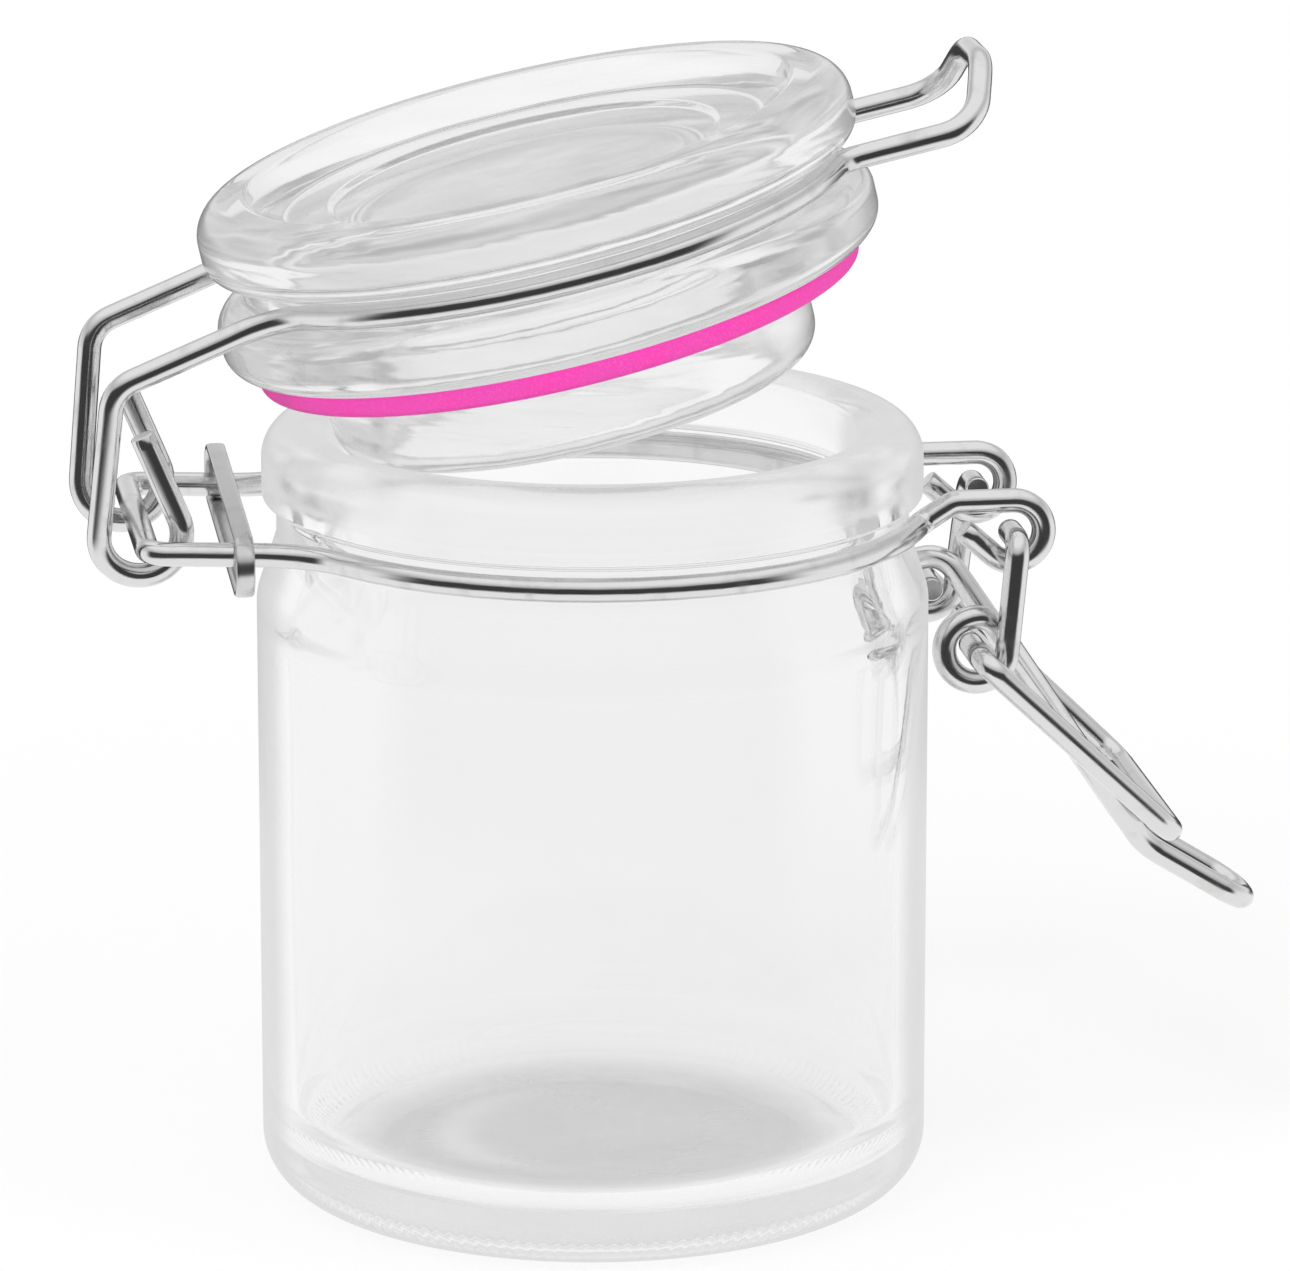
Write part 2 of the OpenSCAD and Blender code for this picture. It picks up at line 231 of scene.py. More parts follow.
class Value:
    """A shader socket that takes part in sums, so that 1 - mask * 0.5 adds its own nodes."""

    def __init__(self, nodes, socket):
        self.nodes = nodes
        self.socket = socket

    def maths(self, operation, *values):
        return self.nodes.add("Math", {"operation": operation}, dict(enumerate(values)))

    def __add__(self, other):
        return self.maths("ADD", self, other)

    def __radd__(self, other):
        return self.maths("ADD", other, self)

    def __sub__(self, other):
        return self.maths("SUBTRACT", self, other)

    def __rsub__(self, other):
        return self.maths("SUBTRACT", other, self)

    def __mul__(self, other):
        return self.maths("MULTIPLY", self, other)

    def __rmul__(self, other):
        return self.maths("MULTIPLY", other, self)

    def root(self):
        return self.maths("SQRT", self)

    def sine(self):
        return self.maths("SINE", self)

    def greater(self, other):
        return self.maths("MAXIMUM", self, other)

    def angle(self, x):
        return self.maths("ARCTAN2", self, x)

    def smooth(self, low, high):
        """0 below low, 1 above high and a smooth rise between."""
        settings = {"interpolation_type": "SMOOTHSTEP"}
        sockets = {"Value": self, "From Min": low, "From Max": high}
        return self.nodes.add("MapRange", settings, sockets)

    def rise(self, start, width):
        """0 before a start, rising to 1 over a width, both in millimetres."""
        return self.smooth(start * MM, (start + width) * MM)

    def reaches(self, count):
        """1 where a whole number is at least a count, 0 where it is less."""
        return self.smooth(count - 0.6, count - 0.4)


class Nodes:
    """A node tree that is filled one call a node."""

    def __init__(self, tree):
        self.tree = tree
        tree.nodes.clear()

    def add(self, kind, settings=None, sockets=None, output=0):
        node = self.tree.nodes.new("ShaderNode" + kind)
        for name, setting in (settings or {}).items():
            if name == "stops":
                self.set_stops(node.color_ramp, setting)
            else:
                setattr(node, name, setting)
        for name, value in (sockets or {}).items():
            if isinstance(value, Value):
                self.tree.links.new(value.socket, node.inputs[name])
            else:
                node.inputs[name].default_value = value
        return Value(self, node.outputs[output]) if len(node.outputs) else node

    def set_stops(self, ramp, stops):
        while len(ramp.elements) < len(stops):
            ramp.elements.new(1)
        for element, (place, level) in zip(ramp.elements, stops):
            element.position = place
            element.color = grey(level)

    def ramp(self, value, stops):
        return self.add("ValToRGB", {"stops": stops}, {"Fac": value})

    def mix(self, share, a, b):
        """A colour between a and b."""
        return self.add("Mix", {"data_type": "RGBA"}, {"Factor": share, 6: a, 7: b}, 2)

    def blend(self, share, a, b):
        """A shader between a and b."""
        return self.add("MixShader", None, {0: share, 1: a, 2: b})

    def glow(self, colour):
        """A surface that shows a colour as it is written, whatever light falls on it."""
        return self.add("Emission", None, {"Color": colour, "Strength": 1.0})

    def noise(self, place, scale, detail=2.0):
        return self.add("TexNoise", None, {"Vector": place, "Scale": scale, "Detail": detail})

    def place(self):
        """The point on the piece, in its own frame, in metres."""
        return self.add("TexCoord", None, None, "Object")

    def stretched(self, place, scale):
        return self.add("Mapping", None, {"Vector": place, "Scale": scale})

    def axes(self, vector):
        split = self.add("SeparateXYZ", None, {0: vector}).socket.node
        return [Value(self, output) for output in split.outputs]

    def path(self, ray):
        return self.add("LightPath", None, None, ray)

    def bump(self, height, distance, strength=1.0):
        return self.add("Bump", None, {"Height": height, "Distance": distance, "Strength": strength})

    def dot(self, vector, other):
        return self.add("VectorMath", {"operation": "DOT_PRODUCT"}, {0: vector, 1: other}, "Value")

    def principled(self, **sockets):
        named = {name.replace("_", " "): value for name, value in sockets.items()}
        return self.add("BsdfPrincipled", None, named)


def make_material(name, make_surface):
    """A material whose surface is what make_surface returns for its nodes."""
    material = bpy.data.materials.new(name)
    material.use_nodes = True
    nodes = Nodes(material.node_tree)
    nodes.add("OutputMaterial", None, {"Surface": make_surface(nodes)})
    return material


def grey(level):
    return (level, level, level, 1)


def from_axis(x, y):
    """Distance from the upright axis through the origin."""
    return (x * x + y * y).root()


# Finishes

CLEAR = grey(0.95)
LID_STREAK = grey(0.90)
# painted shade: the grey tint under the jar's base
PAINTED_BASE_SHADE = grey(0.69)
SHADOW_TINT = grey(0.93)
GLASS_IOR = 1.5
WAVE_DEPTH = 0.00016
RIPPLE_SHARE = 0.03
PATCHES = (0.35, 0.8)
PATCH_SOFTNESS = 0.03
NOISE_MIDDLE = (0.3, 0.7)
CAUGHT_MIRRORS = 2
CAUGHT_TURNS = 10
ASLANT = (0.58, 0.74)

HEEL_TICKS = 150
TICK_HEIGHT = 0.2
RIM_SOFTNESS = 0.16
BASE_SOFTNESS = 0.25
# how far the painted highlight crescent lifts the painted base shade
PAINTED_HIGHLIGHT_SHARE = 0.6
STREAK_HEIGHT = 0.6


def let_light_through(nodes, glass, streaks, edge, painted_outline_share):
    """Glass that shades nothing behind it, with painted shade at its outline: a dim grey glow
    on camera rays where it turns away.

    A ray that its thick edges catch ends in a painted grey glow, streaks of a dim and a pale grey,
    in place of the light lost inside.
    """
    through = nodes.add("BsdfTransparent", None, {"Color": SHADOW_TINT})
    soft_ray = nodes.path("Is Shadow Ray").greater(nodes.path("Is Diffuse Ray"))
    # painted grey glows, a dim and a pale one, that stand in for light lost in thick glass
    dim_glow, pale = (nodes.glow(grey(level)) for level in edge)
    mirrored = nodes.path("Glossy Depth").reaches(CAUGHT_MIRRORS)
    caught = mirrored.greater(nodes.path("Ray Depth").reaches(CAUGHT_TURNS))
    glass_or_painted_glow = nodes.blend(caught, glass, nodes.blend(streaks, dim_glow, pale))
    aslant = nodes.add("LayerWeight", None, {"Blend": 0.5}, "Facing").smooth(*ASLANT)
    # painted shade: where the glass turns away, camera rays see a dim grey glow at its outline
    outline = aslant * nodes.path("Is Camera Ray") * painted_outline_share
    with_painted_outline = nodes.blend(outline, glass_or_painted_glow, dim_glow)
    return nodes.blend(soft_ray, with_painted_outline, through)


def pressed_glass(nodes, place, tint, softness, marks, streaks, edge, painted_outline_share):
    """Clear glass with the slow waves of a moulded surface and pressed marks, blurred by its softness."""
    waves = nodes.noise(nodes.stretched(place, (1.0, 1.0, 0.35)), scale=75.0)
    ripples = nodes.noise(place, scale=420.0, detail=3.0)
    patches = nodes.noise(place, scale=180.0).smooth(*PATCHES)
    glass = nodes.principled(
        Base_Color=tint,
        Roughness=softness + patches * PATCH_SOFTNESS,
        IOR=GLASS_IOR,
        Transmission_Weight=1.0,
        Normal=nodes.bump(waves + ripples * RIPPLE_SHARE + marks, WAVE_DEPTH),
    )
    return let_light_through(nodes, glass, streaks, edge, painted_outline_share)


def jar_glass_finish(nodes):
    """Softer at the mouth rim and under the base, with fine upright ticks round the heel.

    Under the base the glass is tinted grey as painted shade, with a lighter painted highlight crescent on
    one side.
    """
    place = nodes.place()
    x, y, z = nodes.axes(place)
    out = from_axis(x, y)
    rim = z.rise(rim_z, rim_fade)
    foot = 1 - z.rise(base_t, foot_fade)
    base = foot * (1 - out.rise(punt_r - base_lead, base_fade))
    heel = (1 - z.rise(tick_h, tick_fade)) * out.rise(body_r - tick_w, tick_edge)
    ticks = (y.angle(x) * HEEL_TICKS).sine() * heel
    # painted highlight: a lighter crescent ring in the base, on the -X side
    ring = out.rise(crescent_r - crescent_w, crescent_w) * (1 - out.rise(crescent_r, crescent_w))
    painted_crescent_highlight = ring * (0 - x).rise(0, crescent_turn)
    return pressed_glass(
        nodes,
        place,
        # grey under the base is painted shade, lifted by the painted highlight crescent
        tint=nodes.mix(base * (1 - painted_crescent_highlight * PAINTED_HIGHLIGHT_SHARE), CLEAR, PAINTED_BASE_SHADE),
        softness=rim * RIM_SOFTNESS + base * BASE_SOFTNESS,
        marks=ticks * TICK_HEIGHT,
        streaks=nodes.noise(place, scale=90.0).smooth(*NOISE_MIDDLE),
        # levels of the painted grey glow, dim and pale, and how much of the outline takes the dim one
        edge=(0.70, 0.90),
        painted_outline_share=0.8,
    )


def lid_glass_finish(nodes):
    """A little softer than the jar's body all over, with faint pressed streaks."""
    place = nodes.place()
    lines = nodes.noise(nodes.stretched(place, (0.25, 0.25, 1.6)), scale=300.0)
    streaks = lines.smooth(*NOISE_MIDDLE)
    return pressed_glass(
        nodes,
        place,
        tint=nodes.mix(streaks, LID_STREAK, CLEAR),
        softness=0.10,
        marks=lines * STREAK_HEIGHT,
        streaks=streaks,
        # levels of the painted grey glow, dim and pale, and the small share of the outline that takes the
        # dim one
        edge=(0.46, 0.78),
        painted_outline_share=0.12,
    )


PINK = (0.86, 0.045, 0.41, 1)
DEEP_PINK = (0.80, 0.055, 0.42, 1)
PALE_PINK = (0.93, 0.16, 0.53, 1)
# painted pale grey for the rubber where glass or metal shows it
PAINTED_PALE_IN_GLASS_AND_METAL = grey(0.7)
SPECKS = (0.45, 0.75)
SPECK_SHARE = 0.35


def rubber_finish(nodes):
    """Pink moulded rubber: satin, finely grained, faintly uneven, painted pale grey where glass or metal
    shows it.
    """
    place = nodes.place()
    grain = nodes.noise(place, scale=5200.0, detail=3.0)
    clouds = nodes.noise(place, scale=240.0).smooth(*NOISE_MIDDLE)
    seen_in_glass_or_metal = nodes.path("Is Transmission Ray").greater(nodes.path("Is Glossy Ray"))
    clouded = nodes.mix(clouds, PINK, DEEP_PINK)
    speckled = nodes.mix(grain.smooth(*SPECKS) * SPECK_SHARE, clouded, PALE_PINK)
    return nodes.principled(
        Base_Color=nodes.mix(seen_in_glass_or_metal, speckled, PAINTED_PALE_IN_GLASS_AND_METAL),
        Roughness=0.45 + grain * 0.18,
        Specular_IOR_Level=0.4,
        Normal=nodes.bump(grain * (1 - seen_in_glass_or_metal), distance=0.00004, strength=0.6),
    )


BRIGHT_WIRE = grey(0.74)
DULL_WIRE = (0.52, 0.51, 0.50, 1)
WIRE_TARNISH = (0.5, 0.8)
BRIGHT_STRIP = grey(0.66)
DULL_STRIP = (0.50, 0.49, 0.48, 1)
STRIP_TARNISH = (0.45, 0.8)
TARNISH_SHARE = 0.5


def drawn_wire_finish(nodes):
    """Bright steel wire: drawing lines along it and a little tarnish."""
    unrolled = nodes.add("TexCoord", None, None, "UV")
    lines = nodes.noise(nodes.stretched(unrolled, (40.0, 0.4, 1.0)), scale=1.0, detail=4.0)
    tarnish = nodes.noise(nodes.place(), scale=420.0, detail=4.0).smooth(*WIRE_TARNISH)
    return nodes.principled(
        Base_Color=nodes.mix(tarnish * TARNISH_SHARE, BRIGHT_WIRE, DULL_WIRE),
        Metallic=1.0,
        Roughness=0.11 + tarnish * 0.12 + lines * 0.07,
        Normal=nodes.bump(lines, distance=0.000012, strength=0.5),
    )


def strip_finish(nodes):
    """Rolled steel strip, duller than the wire."""
    place = nodes.place()
    rolling = nodes.noise(nodes.stretched(place, (3000.0, 120.0, 3000.0)), scale=1.0, detail=3.0)
    tarnish = nodes.noise(place, scale=300.0, detail=3.0).smooth(*STRIP_TARNISH)
    return nodes.principled(
        Base_Color=nodes.mix(tarnish * TARNISH_SHARE, BRIGHT_STRIP, DULL_STRIP),
        Metallic=1.0,
        Roughness=0.20 + tarnish * 0.08 + rolling * 0.05,
        Normal=nodes.bump(rolling, distance=0.000006, strength=0.4),
    )


jar_glass_material = make_material("jar_glass", jar_glass_finish)
lid_glass_material = make_material("lid_glass", lid_glass_finish)
rubber_material = make_material("pink_rubber", rubber_finish)
wire_material = make_material("drawn_wire", drawn_wire_finish)
strip_material = make_material("rolled_strip", strip_finish)


# Pieces

SAME_POINT = 0.001


def bridge(mesh, ring, beside):
    """Faces between two closed rings of vertices, either of which may be a single vertex."""
    faces = []
    count = max(len(ring), len(beside))
    for k in range(count):
        following = (k + 1) % count
        low = [ring[k % len(ring)], ring[following % len(ring)]]
        high = [beside[following % len(beside)], beside[k % len(beside)]]
        faces.append(mesh.faces.new(list(dict.fromkeys(low + high))))
    return faces


def mesh_data(name, mesh):
    """The finished mesh of a piece."""
    data = bpy.data.meshes.new(name)
    mesh.to_mesh(data)
    mesh.free()
    return data


def place_piece(name, data, body, node, material, pose=None):
    """Puts a made mesh on its body in place of its plain solid."""
    if pose:
        data.transform(pose)
    data.polygons.foreach_set("use_smooth", [True] * len(data.polygons))
    data.materials.append(material)
    piece = bpy.data.objects.new(name, data)
    bpy.context.scene.collection.objects.link(piece)
    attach(piece, body)
    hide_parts(node)
    return piece


# Glass and rubber: a turned piece is an outline of corners, each an X, a Z and a radius

ARC_STEP = math.radians(6)
RUN_STEP = 1.5
TURN_STEPS = 256


def signed_turn(u, v):
    return math.atan2(u.x * v.y - u.y * v.x, u.dot(v))


def rounded(corners):
    """Points of a closed outline with its corners rounded."""
    points = []
    count = len(corners)
    for i, (x, y, r) in enumerate(corners):
        here = Vector((x, y))
        before = (here - Vector(corners[i - 1][:2])).normalized()
        after = (Vector(corners[(i + 1) % count][:2]) - here).normalized()
        turn = signed_turn(before, after)
        if r == 0:
            points.append(here)
            continue
        start = here - before * r * math.tan(abs(turn) / 2)
        side = math.copysign(1, turn)
        middle = start + side * r * Vector((-before.y, before.x))
        steps = max(2, math.ceil(abs(turn) / ARC_STEP))
        arm = start - middle
        for k in range(steps + 1):
            points.append(middle + Matrix.Rotation(turn * k / steps, 2) @ arm)
    return points


def divided(points):
    """The same points in order, with long straight runs cut into short ones."""
    dense = [points[0]]
    for a, b in zip(points, points[1:]):
        steps = max(1, math.ceil((b - a).length / RUN_STEP))
        dense += [a.lerp(b, k / steps) for k in range(1, steps + 1)]
    return dense


def turned_ring(mesh, point):
    """A ring of vertices about Z, or a single vertex where the point is on the axis."""
    if point.x < SAME_POINT:
        return [mesh.verts.new((0, 0, point.y * MM))]
    angles = [2 * math.pi * k / TURN_STEPS for k in range(TURN_STEPS)]
    places = [Vector((point.x * math.cos(a), point.x * math.sin(a), point.y)) for a in angles]
    return [mesh.verts.new(at * MM) for at in places]


def turned(name, corners):
    """A mesh turned about Z from an outline, closed on the axis where the outline starts there."""
    on_axis = corners[0][0] == 0
    outline = rounded(corners)
    outline = divided(outline if on_axis else outline + outline[:1])
    mesh = bmesh.new()
    rings = [turned_ring(mesh, point) for point in outline[:None if on_axis else -1]]
    closing = [] if on_axis else [(rings[-1], rings[0])]
    for ring, beside in list(zip(rings, rings[1:])) + closing:
        bridge(mesh, ring, beside)
    bmesh.ops.recalc_face_normals(mesh, faces=mesh.faces)
    return mesh_data(name, mesh)


def make_jar():
    corners = [
        (0, punt_h, 0),
        (punt_r - 2 * punt_h, punt_h, punt_h),
        (punt_r, 0, punt_edge),
        (body_r, 0, heel_r),
        (body_r, shoulder_z, shoulder_round),
        (neck_r, rim_z - groove_h, groove_round),
        (neck_r, rim_z, groove_round),
        (rim_r, rim_z, groove_round),
        (rim_r, jar_h, rim_round),
        (mouth_r + lip_w, jar_h, lip_round),
        (mouth_r, jar_h - lip_drop, lip_round),
        (mouth_r, neck_z, shoulder_round),
        (bore_r, shoulder_z - wall_t, bore_round),
        (bore_r, base_t, bore_round),
        (0, base_t, 0),
    ]
    data = turned("jar_glass", corners)
    place_piece("jar_glass", data, "jar", "jar", jar_glass_material)


def make_lid():
    corners = [
        (0, hollow_z, 0),
        (hollow_r - hollow_draft, hollow_z, hollow_round),
        (hollow_r, plug_z, plug_inner_round),
        (plug_r, plug_z, plug_round),
        (plug_r, seat_z, seat_edge),
        (gasket_r, seat_z, seat_edge),
        (flange_r, seat_z + flange_slope, flange_round),
        (flange_r, flange_z - flange_slope, flange_round),
        (lid_groove_r, flange_z, lid_groove_round),
        (lid_groove_r, lid_rim_z, lid_groove_round),
        (lid_r, lid_rim_z, lid_under_round),
        (lid_r, lid_top_z, lid_top_round),
        (top_r + top_slope_w, lid_top_z, top_slope_round),
        (top_r, ledge_z, top_slope_round),
        (low_r, ledge_z, ledge_edge),
        (low_r - ledge_drop, ledge_z - ledge_drop, ledge_edge),
        (0, ledge_z - ledge_drop, 0),
    ]
    data = turned("lid_glass", corners)
    place_piece("lid_glass", data, "lid", "lid", lid_glass_material, lid_pose)


def make_gasket():
    outer_round = gasket_t / 3
    inner_r = plug_r + seat_gap
    low_z = seat_z - gasket_t
    top_z = seat_z - air_film
    corners = [
        (inner_r, low_z, seat_edge),
        (gasket_r, low_z, outer_round),
        (gasket_r, top_z, outer_round),
        (inner_r, top_z, seat_edge),
    ]
    data = turned("gasket_ring", corners)
    place_piece("gasket_ring", data, "lid", "gasket", rubber_material, lid_pose)


# Wires: a wire is a list of corners, each a point and a centre-line bend radius

def heading(v):
    return math.atan2(v.y, v.x)


def along(angle):
    return Vector((math.cos(angle), math.sin(angle)))


def at_height(corners, z):
    return [(Vector((p.x, p.y, z)), r) for p, r in corners]


def at_side(corners, y):
    return [(Vector((p.x, y, p.y)), r) for p, r in corners]


def both_sides(half):
    far = [(Vector((p.x, -p.y, p.z)), r) for p, r in half]
    return far[::-1] + half


def around(middle, r, start, turn, count):
    """Corners that carry a wire round a circle, from a heading through a turn."""
    step = turn / count
    out = math.copysign(math.pi / 2, turn)
    reach = r / math.cos(step / 2)
    return [(middle + reach * along(start + step * (i + 0.5) - out), r) for i in range(count)]


def heading_onto(point, middle, r, side):
    return heading(middle - point) - side * math.asin(r / (middle - point).length)


def heading_off(point, middle, r, side):
    return heading(point - middle) + side * math.asin(r / (point - middle).length)


def flare_angle(ring_r, y, end, r):
    x = math.sqrt((ring_r + r) ** 2 - (y + r) ** 2)
    return math.atan2(-y - r, end * x) % (2 * math.pi)


def flare_corner(ring_r, y, end, r):
    """Where a straight arm at -Y flares into a ring."""
    angle = flare_angle(ring_r, y, end, r)
    run = (-y - ring_r * math.sin(angle)) / math.cos(angle)
    return (Vector((ring_r * math.cos(angle) - run * math.sin(angle), -y)), r)


def ring_side(ring_r, y_back, y_front):
    """One side of a ring from its back arm to its front arm."""
    start = flare_angle(ring_r, y_back, -1, back_flare_r)
    stop = flare_angle(ring_r, y_front, 1, flare_r)
    arc = around(Vector((0, 0)), ring_r, start + math.pi / 2, stop - start, 1)
    back = flare_corner(ring_r, y_back, -1, back_flare_r)
    return [back] + arc + [flare_corner(ring_r, y_front, 1, flare_r)]


WIRE_SIDES = 24
WIRE_RUN = 1.2
WIRE_ARC = math.radians(7)
LID_EYE_CORNERS = 2
FRONT_EYE_CORNERS = 3
COIL_CORNERS = 4


def fitted_trims(points, turns, radii):
    """How far each bend reaches along the wire. Where two bends overlap, the tighter one gives way."""
    trims = [r * math.tan(turn / 2) for r, turn in zip(radii, turns)]
    for i, (a, b) in enumerate(zip(points, points[1:])):
        overlap = trims[i] + trims[i + 1] - (b - a).length
        if overlap > 0:
            trims[i if radii[i] < radii[i + 1] else i + 1] -= overlap
    return trims


def wire_line(corners):
    """Points and directions along a wire's centre line."""
    points = [p for p, _ in corners]
    ways = [(b - a).normalized() for a, b in zip(points, points[1:])]
    turns = [0.0] + [u.angle(v) for u, v in zip(ways, ways[1:])] + [0.0]
    trims = fitted_trims(points, turns, [r for _, r in corners])
    line = []
    for i, way in enumerate(ways):
        start = points[i] + way * trims[i]
        stop = points[i + 1] - way * trims[i + 1]
        runs = max(1, math.ceil((stop - start).length / WIRE_RUN))
        line += [(start.lerp(stop, k / runs), way) for k in range(runs + (i == len(ways) - 1))]
        if i < len(ways) - 1:
            turn = turns[i + 1]
            r = trims[i + 1] / math.tan(turn / 2)
            inward = (ways[i + 1] - way * way.dot(ways[i + 1])).normalized()
            middle = stop + inward * r
            steps = max(2, math.ceil(turn / WIRE_ARC))
            for k in range(steps):
                angle = turn * k / steps
                spoke = way * math.sin(angle) - inward * math.cos(angle)
                line.append((middle + spoke * r, way * math.cos(angle) + inward * math.sin(angle)))
    return line[:1] + [b for a, b in zip(line, line[1:]) if (b[0] - a[0]).length > SAME_POINT]


def wire_stations(corners):
    """Points, directions and radii along a wire, its ends cut square with the edge broken."""
    line = wire_line(corners)
    (first, way), (last, end_way) = line[0], line[-1]
    line[0] = (first + way * cut_edge, way)
    line[-1] = (last - end_way * cut_edge, end_way)
    full = [(point, direction, wire_d / 2) for point, direction in line]
    end_r = wire_d / 2 - cut_edge
    return [(first, way, end_r)] + full + [(last, end_way, end_r)]


def wire_mesh(name, corners):
    """A round tube along a wire, with its length and its turn as UVs."""
    stations = wire_stations(corners)
    steps = [(b[0] - a[0]).length for a, b in zip(stations, stations[1:])]
    lengths = list(itertools.accumulate(steps, initial=0.0))
    angles = [2 * math.pi * k / WIRE_SIDES for k in range(WIRE_SIDES)]
    mesh = bmesh.new()
    uv = mesh.loops.layers.uv.new("along")
    side = stations[0][1].orthogonal().normalized()
    rings = []
    for point, direction, radius in stations:
        side = (side - direction * side.dot(direction)).normalized()
        other = direction.cross(side)
        ring = [point + (side * math.cos(a) + other * math.sin(a)) * radius for a in angles]
        rings.append([mesh.verts.new(at * MM) for at in ring])
    for i, (ring, beside) in enumerate(zip(rings, rings[1:])):
        for k, face in enumerate(bridge(mesh, ring, beside)):
            places = ((k, i), (k + 1, i), (k + 1, i + 1), (k, i + 1))
            for loop, (side_at, ring_at) in zip(face.loops, places):
                loop[uv].uv = (side_at / WIRE_SIDES, lengths[ring_at])
    mesh.faces.new(rings[0][::-1])
    mesh.faces.new(rings[-1])
    return mesh_data(name, mesh)


def make_wire(name, half, body, node, pose=None):
    data = wire_mesh(name, both_sides(half))
    piece = place_piece(name, data, body, node, wire_material, pose)
    ends = [polygon for polygon in piece.data.polygons if len(polygon.vertices) == WIRE_SIDES]
    for polygon in ends:
        polygon.use_smooth = False


def make_lid_wire():
    eye_y = back_y - corner_r - wire_d / 2 - wire_gap
    eye = hinge + Vector((-eye_lag, eye_r - wire_d - eye_gap))
    bend = hinge + Vector((bend_lead, bend_rise))
    tail = hinge + Vector((tail_lead, tail_rise))
    onto = heading_onto(bend, eye, eye_r, 1)
    turn = (heading_off(tail, eye, eye_r, 1) - onto) % (2 * math.pi)
    nose_x = flange_r + nose_reach
    nose = [
        (Vector((nose_x, -nose_tip_y, lid_wire_z + nose_h)), nose_r),
        (Vector((nose_x - nose_lean, -nose_y, lid_wire_z)), nose_r),
    ]
    ring = at_height(ring_side(lid_ring_r, lid_back_y, nose_y), lid_wire_z)[::-1]
    arm = [(Vector((bend.x, -lid_back_y, bend.y)), bend_r)]
    loop = at_side(around(eye, eye_r, onto, turn, LID_EYE_CORNERS), -eye_y)
    end = [(Vector((tail.x, -eye_y, tail.y)), 0)]
    make_wire("lid_wire_bent", nose + ring + arm + loop + end, "lid", "lid_wire", lid_pose)


def make_neck_wire():
    knee = Vector((rim_r + front_step, front_eye.y + front_r))
    tail = knee + Vector((front_tail, -wire_d - wire_gap))
    onto = heading_onto(knee, front_eye, front_r, -1)
    turn = (onto - heading_off(tail, front_eye, front_r, -1)) % (2 * math.pi)
    bar = [(Vector((hinge.x, -back_y, hinge.y)), corner_r)]
    back, arc, front = ring_side(neck_ring_r, back_y, front_y)
    ring = at_height([back, arc, (front[0], corner_r)], neck_z)
    step = [(Vector((knee.x, -front_y, knee.y)), corner_r)]
    eye = at_side(around(front_eye, front_r, onto, -turn, FRONT_EYE_CORNERS), -front_y)
    end = [(Vector((tail.x, -front_y, tail.y)), 0)]
    make_wire("neck_wire_bent", bar + ring + step + eye + end, "jar", "neck_wire")


def make_lever():
    tip = handle_bend + handle_l * along(-handle_slope)
    onto = heading_onto(handle_bend, coil, coil_r, 1)
    turn = (heading_off(pin, coil, coil_r, 1) - onto) % (2 * math.pi)
    handle = [
        (Vector((tip.x, -handle_y, tip.y)), handle_tip_r),
        (Vector((handle_bend.x, -handle_y, handle_bend.y)), handle_r),
    ]
    turns = []
    for i, (p, r) in enumerate(around(coil, coil_r, onto, turn, COIL_CORNERS)):
        y = -coil_y + coil_step * (1 - (i + 0.5) / COIL_CORNERS)
        turns.append((Vector((p.x, y, p.y)), r))
    arm = [
        (Vector((pin.x, -pin_y, pin.y)), corner_r),
        (Vector((pin.x, -front_y + pin_past, pin.y)), 0),
    ]
    make_wire("lever_bent", handle + turns + arm, "lever", "lever")


def make_clamp_loop():
    handle_up = Vector((math.sin(handle_slope), math.cos(handle_slope)))
    lift = wire_d + 4 * wire_gap - (coil - handle_bend).dot(handle_up)
    slope = math.acos(lift / loop_l) - math.pi / 2 + handle_slope
    tip = coil + loop_l * along(-slope)
    arm_y = coil_y + wire_d + 2 * wire_gap + loop_draw * (coil_r + wire_d) / loop_l
    loop_y = arm_y - loop_draw
    half = [
        (Vector((tip.x, -loop_y, tip.y)), loop_r),
        (Vector((coil.x, -arm_y, coil.y)), corner_r),
        (Vector((coil.x, -coil_y + coil_step + loop_past, coil.y)), 0),
    ]
    make_wire("clamp_loop_bent", half, "clamp_loop", "clamp_loop")


# Clip

LINK_ARC_STEPS = 24
STRIP_SIDES = 28
STRIP_FLATNESS = 0.7
STRIP_CROWN = 0.6


def link_outline(end_y, r):
    """Y and Z round a long link with round ends."""
    points = []
    for end, start in ((1, -0.5), (-1, 0.5)):
        for k in range(LINK_ARC_STEPS + 1):
            angle = math.pi * (start + k / LINK_ARC_STEPS)
            points.append(Vector((end * end_y + r * math.cos(angle), r * math.sin(angle))))
    return points


def signed_power(value, power):
    return math.copysign(abs(value) ** power, value)


def flat_oval(angle, width, thickness):
    """Across and through a flattened wire at an angle round it."""
    across = signed_power(math.cos(angle), STRIP_FLATNESS)
    through = signed_power(math.sin(angle), STRIP_CROWN)
    return width / 2 * across, thickness / 2 * through


